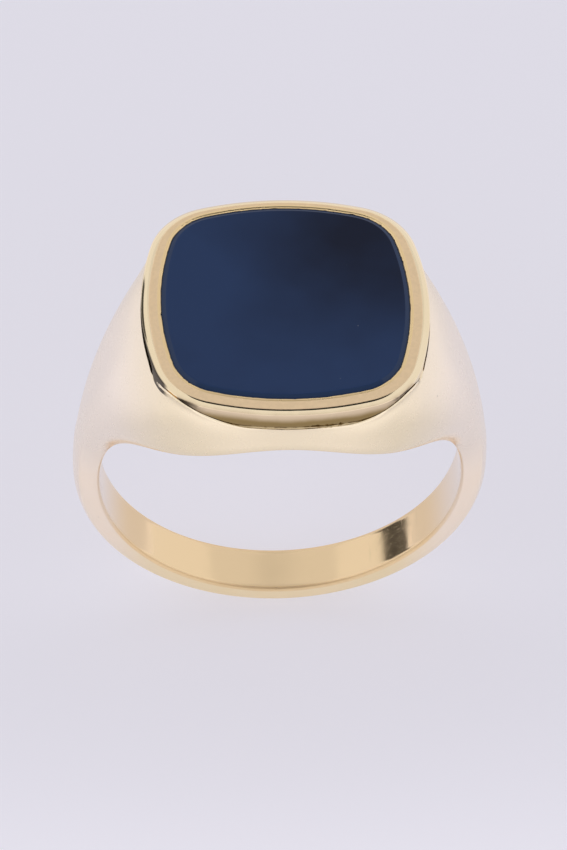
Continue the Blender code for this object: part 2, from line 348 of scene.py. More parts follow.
class Nodes(NodeWriter):
    """A writer for one material's node tree, with patterns measured in millimetres."""

    def __init__(self, name: str) -> None:
        """Start a material with its Principled shader and object coordinates.

        Args:
            name: the material's name.
        """
        self.material = bpy.data.materials.new(name)
        self.material.use_nodes = True
        super().__init__(self.material.node_tree)
        self.shader = self.tree.nodes["Principled BSDF"]
        self.coordinates = self.tree.nodes.new("ShaderNodeTexCoord")

    def set(self, name: str, value: float | tuple[float, ...]) -> None:
        """Set one of the shader's own sockets."""
        self.shader.inputs[name].default_value = value

    def feed(self, name: str, source: Socket) -> None:
        """Drive one of the shader's sockets."""
        self.link(source, self.shader.inputs[name])

    def place(self, scale: Point, turn: Point = UNTURNED) -> Socket:
        """Object coordinates for a pattern.

        Args:
            scale: repeats per millimetre along each axis.
            turn: the pattern's turn about each axis, in radians.

        Returns:
            The scaled and turned coordinates.
        """
        mapping = self.tree.nodes.new("ShaderNodeMapping")
        mapping.inputs["Scale"].default_value = tuple(s / MM for s in scale)
        mapping.inputs["Rotation"].default_value = turn
        self.link(self.coordinates.outputs["Object"], mapping.inputs["Vector"])
        return mapping.outputs["Vector"]

    def cloud(
        self, scale: Point, detail: float = 3.0, rough: float = 0.5, turn: Point = UNTURNED
    ) -> Socket:
        """Noise.

        Args:
            scale: features per millimetre along each axis.
            detail: how many finer layers it holds.
            rough: how strong the finer layers are.
            turn: the pattern's turn about each axis, in radians.

        Returns:
            The noise, from 0 to 1.
        """
        texture = self.tree.nodes.new("ShaderNodeTexNoise")
        texture.inputs["Scale"].default_value = 1.0
        texture.inputs["Detail"].default_value = detail
        texture.inputs["Roughness"].default_value = rough
        self.link(self.place(scale, turn), texture.inputs["Vector"])
        return texture.outputs["Fac"]

    def cells(self, scale: Point) -> Socket:
        """Scattered points.

        Args:
            scale: points per millimetre along each axis.

        Returns:
            The distance to the nearest point.
        """
        texture = self.tree.nodes.new("ShaderNodeTexVoronoi")
        texture.inputs["Scale"].default_value = 1.0
        self.link(self.place(scale), texture.inputs["Vector"])
        return texture.outputs["Distance"]

    def axis(self, which: Axis) -> Socket:
        """One object coordinate, in metres.

        Args:
            which: the axis.

        Returns:
            The coordinate.
        """
        split = self.tree.nodes.new("ShaderNodeSeparateXYZ")
        self.link(self.coordinates.outputs["Object"], split.inputs["Vector"])
        return split.outputs[which.value]

    def bump(self, height: Socket, depth: float) -> None:
        """Raise the surface.

        Args:
            height: the relief, from 0 to 1.
            depth: what a relief of 1 stands for, in metres.
        """
        node = self.tree.nodes.new("ShaderNodeBump")
        node.inputs["Strength"].default_value = 1.0
        node.inputs["Distance"].default_value = depth
        self.link(height, node.inputs["Height"])
        self.feed("Normal", node.outputs["Normal"])


@dataclass(frozen=True)
class GoldFinish:
    """Worn gold: a soft colour drift, hairlines, a slight ripple and a few casting pits."""

    name: str
    colour: Point
    drift: Point
    roughness: float
    bloom: float
    hairlines: float
    ripple: float
    pits: float
    pit_shade: float = 0.30
    relief_depth: float = 0.02 * MM

    def material(self) -> bpy.types.Material:
        """Build the material.

        Returns:
            A metallic material whose colour, roughness and bump vary with the place on the piece.
        """
        nodes = Nodes(self.name)
        nodes.set("Metallic", 1.0)
        lines = self.scratches(nodes)
        marks = self.pitting(nodes)
        dark = tuple(self.pit_shade * c for c in self.drift)
        nodes.feed("Base Color", nodes.mix(marks, self.tone(nodes), dark))
        scored = nodes.spread(lines, 0.0, 1.0, 0.0, 0.10 * self.hairlines)
        nodes.feed("Roughness", nodes.sum(self.polish(nodes), scored))
        nodes.bump(self.relief(nodes, lines, marks), self.relief_depth)
        self.extra(nodes)
        return nodes.material

    def extra(self, nodes: Nodes) -> None:
        """Further links of one finish: none here."""

    def tone(self, nodes: Nodes) -> Socket:
        """The gold's colour, which drifts slowly over the piece."""
        wash = nodes.cloud((0.22, 0.22, 0.22), detail=2.0)
        return nodes.mix(nodes.spread(wash, *MIDDLE, 0.0, 1.0), self.colour, self.drift)

    def polish(self, nodes: Nodes) -> Socket:
        """Roughness, raised here and there by handling."""
        worn = nodes.cloud((0.8, 0.8, 0.8), detail=4.0, rough=0.6)
        return nodes.spread(worn, *MIDDLE, self.roughness, self.roughness + self.bloom)

    def pitting(self, nodes: Nodes) -> Socket:
        """Scattered pits, in patches.

        Args:
            nodes: the material's writer.

        Returns:
            1 in a pit, 0 elsewhere.
        """
        pits = nodes.spread(nodes.cells((0.9, 0.9, 0.9)), 0.0, 0.055, 1.0, 0.0)
        patches = nodes.cloud((0.35, 0.35, 0.35), detail=0.0)
        return nodes.product(pits, nodes.spread(patches, 0.5, 0.62, 0.0, self.pits))

    def scratches(self, nodes: Nodes) -> Socket:
        """Fine hairlines in two directions.

        Args:
            nodes: the material's writer.

        Returns:
            1 on a hairline, 0 elsewhere.
        """
        first = nodes.cloud((0.5, 16.0, 5.0), detail=1.0, turn=(0.3, 0.2, 0.7))
        second = nodes.cloud((14.0, 0.6, 6.0), detail=1.0, turn=(0.1, -0.3, -0.4))
        along = nodes.spread(first, 0.66, 0.76, 0.0, 1.0)
        across = nodes.spread(second, 0.68, 0.78, 0.0, 1.0)
        return nodes.math("MAXIMUM", along, across)

    def relief(self, nodes: Nodes, lines: Socket, marks: Socket) -> Socket:
        """Height of the ripple, the grain, the hairlines and the pits together.

        Args:
            nodes: the material's writer.
            lines: the hairlines.
            marks: the pits.

        Returns:
            The relief.
        """
        grain = 0.02 + 0.03 * self.ripple
        soft = nodes.spread(nodes.cloud((0.6, 0.6, 0.6), detail=1.0), 0.0, 1.0, 0.0, self.ripple)
        fine = nodes.spread(nodes.cloud((9.0, 9.0, 9.0), detail=2.0), 0.0, 1.0, 0.0, grain)
        scored = nodes.spread(lines, 0.0, 1.0, 0.0, -0.05 * self.hairlines)
        sunk = nodes.spread(marks, 0.0, 1.0, 0.0, -0.8)
        return nodes.sum(nodes.sum(soft, fine), nodes.sum(scored, sunk))


@dataclass(frozen=True)
class BodyGold(GoldFinish):
    """The body's gold: paler on the shoulders as a painted haze of light, and yellow and bright inside the
    finger hole.
    """

    # pale: a painted haze of light that whitens the shoulders' gold
    pale: Point = (0.99, 0.885, 0.75)
    pale_x: Pair = (5.5 * MM, 9.5 * MM)
    bore: Point = (0.93, 0.71, 0.42)
    bore_side: Point = (0.93, 0.80, 0.64)
    bore_side_x: Pair = (8.0 * MM, 9.75 * MM)
    bore_roughness: float = 0.10
    bore_reach: float = 9.93 * MM
    edge_y: Pair = (1.18 * MM, 1.30 * MM)
    edge_z: Pair = (0.0, 4.0 * MM)
    edge_dulling: float = 0.40

    def inside(self, nodes: Nodes) -> Socket:
        """Where the surface of the finger hole is.

        Args:
            nodes: the material's writer.

        Returns:
            1 on the hole's surface, 0 outside it.
        """
        reach = self.bore_reach
        across = nodes.sum(nodes.squared(nodes.axis(Axis.X)), nodes.squared(nodes.axis(Axis.Z)))
        return nodes.spread(across, *squares((0.99 * reach, reach)), 1.0, 0.0)

    def tone(self, nodes: Nodes) -> Socket:
        """Paler towards the shoulders as a painted haze of light, yellower in the finger hole.

        Args:
            nodes: the material's writer.

        Returns:
            The colour.
        """
        sideways = nodes.squared(nodes.axis(Axis.X))
        painted_haze = nodes.spread(sideways, *squares(self.pale_x), 0.0, 1.0)
        outer = nodes.mix(painted_haze, super().tone(nodes), self.pale)
        rising = nodes.spread(sideways, *squares(self.bore_side_x), 0.0, 1.0)
        return nodes.mix(self.inside(nodes), outer, nodes.mix(rising, self.bore, self.bore_side))

    def polish(self, nodes: Nodes) -> Socket:
        """Mirror-bright in the finger hole, softer outside and along the hoop's edges.

        Args:
            nodes: the material's writer.

        Returns:
            The roughness.
        """
        less = nodes.spread(self.inside(nodes), 0.0, 1.0, 0.0, self.bore_roughness - self.roughness)
        edge = nodes.spread(nodes.size_of(nodes.axis(Axis.Y)), *self.edge_y, 0.0, self.edge_dulling)
        low = nodes.spread(nodes.axis(Axis.Z), *self.edge_z, 1.0, 0.0)
        return nodes.sum(nodes.sum(super().polish(nodes), less), nodes.product(edge, low))


@dataclass(frozen=True)
class RimGold(GoldFinish):
    """The frame's gold: satin on the lapped flat, mirror-bright on the rolled edge, tarnished below, with
    painted shade and painted reflection mixed into the tarnish.

    A Pair is where something starts and ends along the axis that its name ends with.
    """

    satin: Point = (1.0, 0.765, 0.465)
    satin_shade: float = 0.94
    satin_roughness: float = 0.34
    flat_z: float = 12.885 * MM
    flat_edge: float = 0.008 * MM
    # worn, patina and dark_patina_and_shade: painted shade and painted reflection, mixed with tarnish, that
    # dim the lower roll and the wall below it
    worn: Point = (0.70, 0.55, 0.36)
    patina_and_shade: Point = (0.28, 0.19, 0.062)
    dark_patina_and_shade: Point = (0.045, 0.032, 0.015)
    wander: float = 0.04 * MM
    patina_and_shade_z: Pair = (12.00 * MM, 12.56 * MM)
    fading_shade_z: Pair = (12.56 * MM, 12.86 * MM)
    ends_z: Pair = (12.62 * MM, 12.70 * MM)
    front_left_x: Pair = (-5.9 * MM, -5.5 * MM)
    front_right_x: Pair = (6.1 * MM, 6.5 * MM)
    front_y: Pair = (-1.0 * MM, 2.0 * MM)
    back_share: float = 0.25
    left_end_x: Pair = (-5.4 * MM, -4.1 * MM)
    right_end_x: Pair = (4.9 * MM, 5.7 * MM)
    right_end_share: float = 0.8
    groove_x: Pair = (-6.45 * MM, -6.15 * MM)
    groove_y: Pair = (1.6 * MM, 3.2 * MM)
    groove_z: Pair = (12.62 * MM, 12.68 * MM)
    groove_lift: float = 0.08 * MM
    groove_lift_y: Pair = (-5.0 * MM, 1.0 * MM)
    tarnish_and_shade_roughness: float = 0.5
    tarnish_and_shade_metal: float = 0.1

    def on_flat(self, nodes: Nodes) -> Socket:
        """1 on the flat, 0 below its edge."""
        return nodes.spread(nodes.axis(Axis.Z), self.flat_z, self.flat_z + self.flat_edge, 0.0, 1.0)

    def tone(self, nodes: Nodes) -> Socket:
        """Peach on the flat, champagne on the roll.

        Args:
            nodes: the material's writer.

        Returns:
            The colour.
        """
        grain = nodes.cloud((5.0, 5.0, 5.0), detail=3.0)
        shade = tuple(self.satin_shade * c for c in self.satin)
        lapped = nodes.mix(nodes.spread(grain, *MIDDLE, 0.0, 1.0), self.satin, shade)
        return nodes.mix(self.on_flat(nodes), self.tarnished_and_shaded(nodes, super().tone(nodes)), lapped)

    def tarnished_and_shaded(self, nodes: Nodes, clean: Socket) -> Socket:
        """The wall's tarnish with painted shade and painted reflection: olive along the front, nearly black
        at its ends and down the left side.

        Args:
            nodes: the material's writer.
            clean: the gold's own colour.

        Returns:
            The tarnished colour, with its painted shade and painted reflection.
        """
        x, y = nodes.axis(Axis.X), nodes.axis(Axis.Y)
        cloud = nodes.cloud((0.9, 0.9, 0.9), detail=3.0)
        height = nodes.sum(nodes.axis(Axis.Z), nodes.spread(cloud, *MIDDLE, -self.wander, self.wander))
        from_left = nodes.spread(x, *self.front_left_x, 0.0, 1.0)
        to_right = nodes.spread(x, *self.front_right_x, 1.0, 0.0)
        backwards = nodes.spread(y, *self.front_y, 1.0, self.back_share)
        along = nodes.product(nodes.math("MINIMUM", from_left, to_right), backwards)
        # painted shade fading in down the lower roll, then olive painted shade and tarnish on the wall
        # below
        fading_shade = nodes.product(nodes.spread(height, *self.fading_shade_z, 0.9, 0.0), along)
        front = nodes.product(nodes.spread(height, *self.patina_and_shade_z, 0.95, 0.0), along)
        olive = nodes.mix(front, nodes.mix(fading_shade, clean, self.worn), self.patina_and_shade)
        streaks = nodes.spread(nodes.cloud((2.2, 2.2, 4.0), detail=3.0), 0.35, 0.62, 0.35, 1.0)
        # painted shade, nearly black, low on the wall at the frame's ends, mixed with tarnish
        left_end = nodes.spread(x, *self.left_end_x, 1.0, 0.0)
        right_end = nodes.spread(x, *self.right_end_x, 0.0, self.right_end_share)
        low = nodes.product(nodes.spread(height, *self.ends_z, 1.0, 0.0), along)
        deeper = nodes.product(nodes.product(streaks, nodes.sum(left_end, right_end)), low)
        darker = nodes.mix(deeper, olive, self.dark_patina_and_shade)
        # painted shade and tarnish, nearly black, in the left side's groove
        return nodes.mix(self.in_groove(nodes), darker, self.dark_patina_and_shade)

    def in_groove(self, nodes: Nodes) -> Socket:
        """Where the left side's groove is.

        Args:
            nodes: the material's writer.

        Returns:
            1 on the left side's wall below the roll, 0 elsewhere.
        """
        y = nodes.axis(Axis.Y)
        lift = nodes.spread(y, *self.groove_lift_y, -self.groove_lift, 0.0)
        below = nodes.spread(nodes.sum(nodes.axis(Axis.Z), lift), *self.groove_z, 0.97, 0.0)
        left = nodes.spread(nodes.axis(Axis.X), *self.groove_x, 1.0, 0.0)
        return nodes.product(below, nodes.product(left, nodes.spread(y, *self.groove_y, 1.0, 0.0)))

    def extra(self, nodes: Nodes) -> None:
        """The groove's tarnish and painted shade are hardly metallic."""
        nodes.feed("Metallic", nodes.spread(self.in_groove(nodes), 0.0, 1.0, 1.0, self.tarnish_and_shade_metal))

    def polish(self, nodes: Nodes) -> Socket:
        """Satin on the flat, dull in the groove.

        Args:
            nodes: the material's writer.

        Returns:
            The roughness.
        """
        more = nodes.spread(self.on_flat(nodes), 0.0, 1.0, 0.0, self.satin_roughness - self.roughness)
        dull = nodes.spread(self.in_groove(nodes), 0.0, 1.0, 0.0, self.tarnish_and_shade_roughness)
        return nodes.sum(nodes.sum(super().polish(nodes), more), dull)


@dataclass(frozen=True)
class StoneFinish:
    """Dark blue polished stone: blue towards one corner and nearly black towards the other, with faint dust
    and polish lines.
    """

    name: str
    blue: Point
    black: Point
    painted_bevel_sheen: Point
    roughness: float
    dust: Point = (0.45, 0.46, 0.48)
    refraction: float = 1.54
    specular: float = 0.15
    darker_x: Pair = (-5.0 * MM, 4.5 * MM)
    darker_y: Pair = (-6.0 * MM, 4.0 * MM)
    bevel_z: Pair = (12.938 * MM, 12.946 * MM)
    relief_depth: float = 0.0006 * MM

    def material(self) -> bpy.types.Material:
        """Build the material.

        Returns:
            A polished, hardly reflecting material that darkens towards one corner.
        """
        nodes = Nodes(self.name)
        nodes.set("IOR", self.refraction)
        nodes.set("Specular IOR Level", self.specular)
        across = nodes.spread(nodes.axis(Axis.X), *self.darker_x, 0.0, 1.0)
        along = nodes.spread(nodes.axis(Axis.Y), *self.darker_y, 0.0, 1.0)
        cloud = nodes.spread(nodes.cloud((0.16, 0.16, 0.3), detail=3.0), *MIDDLE, -0.15, 0.15)
        tone = nodes.mix(nodes.sum(nodes.product(across, along), cloud), self.blue, self.black)
        dusty = nodes.mix(self.specks(nodes), tone, self.dust)
        # painted reflection: the bevel is coloured lighter than the table, as if it caught the tent's light
        bevel = nodes.spread(nodes.axis(Axis.Z), *self.bevel_z, 1.0, 0.0)
        nodes.feed("Base Color", nodes.mix(bevel, dusty, self.painted_bevel_sheen))
        lines = nodes.cloud((2.0, 9.0, 2.0), detail=2.0, turn=(0.0, 0.0, 0.6))
        nodes.feed("Roughness", nodes.spread(lines, *MIDDLE, self.roughness, self.roughness + 0.04))
        nodes.bump(nodes.cloud((1.2, 1.2, 1.2), detail=3.0), self.relief_depth)
        return nodes.material

    @staticmethod
    def specks(nodes: Nodes) -> Socket:
        """A few specks of dust, in patches.

        Args:
            nodes: the material's writer.

        Returns:
            More than 0 on a speck.
        """
        specks = nodes.spread(nodes.cells((1.3, 1.3, 1.3)), 0.02, 0.035, 1.0, 0.0)
        some = nodes.spread(nodes.cloud((0.5, 0.5, 0.5), detail=0.0), 0.55, 0.6, 0.0, 0.6)
        return nodes.product(specks, some)


@dataclass(frozen=True)
class CementFinish:
    """Dark setting cement, a little lumpy."""

    name: str
    colour: Point
    lighter: float = 2.5
    relief_depth: float = 0.03 * MM

    def material(self) -> bpy.types.Material:
        """Build the material.

        Returns:
            A dull, lumpy material.
        """
        nodes = Nodes(self.name)
        lumps = nodes.cloud((3.0, 3.0, 3.0), detail=4.0)
        raised = tuple(self.lighter * c for c in self.colour)
        nodes.feed("Base Color", nodes.mix(lumps, self.colour, raised))
        nodes.feed("Roughness", nodes.spread(lumps, *MIDDLE, 0.35, 0.6))
        nodes.bump(lumps, self.relief_depth)
        return nodes.material


BODY_GOLD = BodyGold("yellow_gold", (0.98, 0.85, 0.60), (0.96, 0.83, 0.57), 0.22, 0.06, 0.8, 0.35, 0.8)
LEDGE_GOLD = GoldFinish("ledge_gold", (0.88, 0.72, 0.46), (0.84, 0.66, 0.40), 0.30, 0.10, 0.8, 0.6, 0.8)
FRAME_GOLD = RimGold("rim_gold", (0.95, 0.81, 0.54), (0.94, 0.79, 0.51), 0.06, 0.02, 0.3, 0.05, 0.1)
LIP_GOLD = GoldFinish("fine_gold", (0.97, 0.74, 0.39), (0.95, 0.72, 0.38), 0.26, 0.08, 0.3, 0.2, 0.2)
# the crease solder's dark olive colour is partly the solder's own and partly painted shade of the crease
SOLDER_AND_CREASE_SHADE = GoldFinish("gold_solder", (0.62, 0.49, 0.28), (0.36, 0.27, 0.13), 0.34, 0.14, 0.2, 1.2, 1.0)
SEAM_GOLD = BodyGold("seam_gold", (0.98, 0.85, 0.60), (0.96, 0.83, 0.57), 0.22, 0.06, 0.8, 0.35, 0.0)
CEMENT = CementFinish("cement", (0.015, 0.015, 0.017))
NAVY = StoneFinish("navy_stone", (0.020, 0.048, 0.130), (0.004, 0.009, 0.029), (0.030, 0.055, 0.120), 0.07)


# ---------------------------------------------------------------------------
# Sizes that the pieces share, read from the CAD frame
# ---------------------------------------------------------------------------


@dataclass(frozen=True)
class Cushion:
    """A square with bulging sides and round corners that can be offset."""

    half_length: float
    half_width: float
    corner_radius: float
    bulge: float
    shift_y: float = 0.0

    @property
    def corner(self) -> Pair:
        """Centre of the corner round in the first quarter."""
        inset = self.corner_radius + self.bulge
        return self.half_length - inset, self.half_width - inset

    def side_arc(self, half_span: float) -> Pair:
        """Radius and half angle of a side before its offset."""
        radius = (half_span**2 + self.bulge**2) / (2 * self.bulge)
        return radius, asin(half_span / radius)

    def spokes(self, side_steps: int, corner_steps: int) -> list[tuple[Pair, float]]:
        """Points on the inner pillow with the direction that their offset takes.

        Args:
            side_steps: points along each side.
            corner_steps: points round each corner.

        Returns:
            Each point with its outward angle, counter-clockwise from the right side.
        """
        cx, cy = self.corner
        right, right_turn = self.side_arc(cy)
        top, top_turn = self.side_arc(cx)
        right_hub = cx + self.bulge - right
        top_hub = cy + self.bulge - top
        corner_turn = pi / 2 - right_turn - top_turn
        half: list[tuple[Pair, float]] = []
        for step in range(side_steps):
            angle = right_turn * (2 * step / side_steps - 1)
            half.append(((right_hub + right * cos(angle), right * sin(angle)), angle))
        for step in range(corner_steps):
            half.append(((cx, cy), right_turn + corner_turn * step / corner_steps))
        for step in range(side_steps):
            angle = pi / 2 + top_turn * (2 * step / side_steps - 1)
            half.append(((top * cos(angle), top_hub + top * sin(angle)), angle))
        for step in range(corner_steps):
            half.append(((-cx, cy), pi / 2 + top_turn + corner_turn * step / corner_steps))
        return half + [((-x, -y), angle + pi) for (x, y), angle in half]

    def outline(self, offset: float, z: float, side_steps: int = 36, corner_steps: int = 28) -> list[Point]:
        """The outline moved outwards by an offset, at a height.

        Args:
            offset: how far outwards.
            z: the height.
            side_steps: points along each side.
            corner_steps: points round each corner.

        Returns:
            The outline's points, counter-clockwise.
        """
        reach = self.corner_radius + offset
        points: list[Point] = []
        for (x, y), angle in self.spokes(side_steps, corner_steps):
            points.append((x + reach * cos(angle), y + reach * sin(angle) + self.shift_y, z))
        return points

    def beyond(self, x: float, y: float) -> float:
        """How far a place lies outside the outline, negative inside.

        Args:
            x: the place's x.
            y: the place's y.

        Returns:
            The distance.
        """
        cx, cy = self.corner
        ax, ay = abs(x), abs(y - self.shift_y)
        right, right_turn = self.side_arc(cy)
        top, top_turn = self.side_arc(cx)
        bearing = atan2(ay - cy, ax - cx)
        if bearing < right_turn and ax > cx:
            return hypot(ax - (cx + self.bulge - right), ay) - right - self.corner_radius
        if bearing > pi / 2 - top_turn or ax <= cx:
            return hypot(ax, ay - (cy + self.bulge - top)) - top - self.corner_radius
        return hypot(ax - cx, ay - cy) - self.corner_radius

    def half_width_at(self, x: float) -> float:
        """Half the width at x, on the top side or the corner round.

        Args:
            x: the place's x.

        Returns:
            The half width.
        """
        cx, cy = self.corner
        top, turn = self.side_arc(cx)
        reach = top + self.corner_radius
        if abs(x) <= reach * sin(turn):
            return cy + self.bulge - top + sqrt(reach**2 - x**2)
        return cy + sqrt(max(self.corner_radius**2 - (abs(x) - cx) ** 2, 0.0))


@dataclass(frozen=True)
class RingSizes:
    """The ring's leading sizes. The places come from the CAD nodes' boxes."""

    bore: float
    bottom: float
    side: float
    seat_z: float
    head: Cushion
    stone: Cushion
    frame_foot_z: float
    rim_z: float
    table_z: float
    back_z: float
    lip_outer: float
    lip_inner: float
    ledge_low_z: float
    ledge_high_z: float

    @classmethod
    def from_frame(cls) -> "RingSizes":
        """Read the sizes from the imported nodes.

        Returns:
            The sizes.
        """
        body_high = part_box("ring_body")[1]
        seam_low, seam_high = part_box("hoop_seam_solder")
        frame_low, frame_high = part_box("bezel_frame")
        stone_low, stone_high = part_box("seal_stone")
        lip_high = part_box("bezel_lip")[1]
        ledge_low, ledge_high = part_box("bearing_ledge")
        half_length = stone_high.x - GIRDLE
        half_width = (stone_high.y - stone_low.y) / 2 - GIRDLE
        shift = (stone_high.y + stone_low.y) / 2
        stone = Cushion(half_length, half_width, STONE_CORNER, STONE_BULGE, shift)
        growth = (frame_high.x - half_length + frame_high.y - half_width) / 2
        head = Cushion(frame_high.x, frame_high.y, stone.corner_radius + growth, stone.bulge)
        return cls(
            bore=-seam_high.z,
            bottom=-seam_low.z,
            side=body_high.x,
            seat_z=body_high.z,
            head=head,
            stone=stone,
            frame_foot_z=frame_low.z,
            rim_z=frame_high.z,
            table_z=stone_high.z,
            back_z=stone_low.z,
            lip_outer=lip_high.x - half_length,
            lip_inner=GIRDLE + JOINT_GAP,
            ledge_low_z=ledge_low.z,
            ledge_high_z=ledge_high.z,
        )


def arc(centre: Pair, radii: Pair, start: float, end: float, steps: int) -> list[Pair]:
    """Points on an upright ellipse's arc.

    Args:
        centre: its centre, as (offset, z).
        radii: its half sizes along the offset and along z.
        start: first angle, measured from the outward direction towards +Z.
        end: last angle.
        steps: how many points after the first.

    Returns:
        The points in order.
    """
    points: list[Pair] = []
    for step in range(steps + 1):
        angle = start + (end - start) * step / steps
        points.append((centre[0] + radii[0] * cos(angle), centre[1] + radii[1] * sin(angle)))
    return points


# ---------------------------------------------------------------------------
# The ring's pieces
# ---------------------------------------------------------------------------


@dataclass(frozen=True)
class Collar:
    """How far the body climbs up the frame's wall: nothing at the front, most at the corners."""

    height: float = 1.04 * MM
    left: Pair = (2.0 * MM, 6.6 * MM)
    right: Pair = (3.0 * MM, 6.9 * MM)
    side_share: float = 0.56
    corner_start: float = 4.0 * MM
    corner_reach: float = 2.0 * MM
    fade: float = 1.5 * MM
    rise: float = 0.30 * MM

    def climb(self, x: float, y: float) -> float:
        """The climb beside a place on the frame's outline.

        Args:
            x: the place's x.
            y: the place's y.

        Returns:
            How far the body climbs there.
        """
        start, end = self.left if x < 0.0 else self.right
        along = eased((abs(x) - start) / (end - start))
        corner = eased((abs(y) - self.corner_start) / self.corner_reach)
        return self.height * along * (self.side_share + (1.0 - self.side_share) * corner)


@dataclass
class Piece:
    """A finished piece, with what it stands for."""

    sizes: RingSizes

    name: str = "piece"
    node: str = "node"
    slot: str = "slot"

    def build(self) -> bpy.types.Object:
        """Make the piece's mesh."""
        raise NotImplementedError

    def finish(self, material: bpy.types.Material) -> bpy.types.Object:
        """Build the piece, dress it and hand it to the frame.

        Args:
            material: the finish that the piece wears.

        Returns:
            The finished object.
        """
        piece = self.build()
        piece.data.materials.clear()
        piece.data.materials.append(material)
        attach(piece, ROOT)
        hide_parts(self.node)
        LOG.info("%s: %d faces", piece.name, len(piece.data.polygons))
        return piece

    def skin(self, loops: list[list[Point]], ends: Ends, angle: float) -> bpy.types.Object:
        """Make the piece's mesh from its loops.

        Args:
            loops: closed loops of the same length, in order.
            ends: how the first and the last loop are closed.
            angle: the angle above which an edge is sharp.

        Returns:
            The new object, shaded.
        """
        piece = Bench.first_loop(self.name, loops[0])
        Bench.carry(piece, loops[1:])
        Bench.close(piece, ends)
        Bench.shade(piece, angle)
        return piece


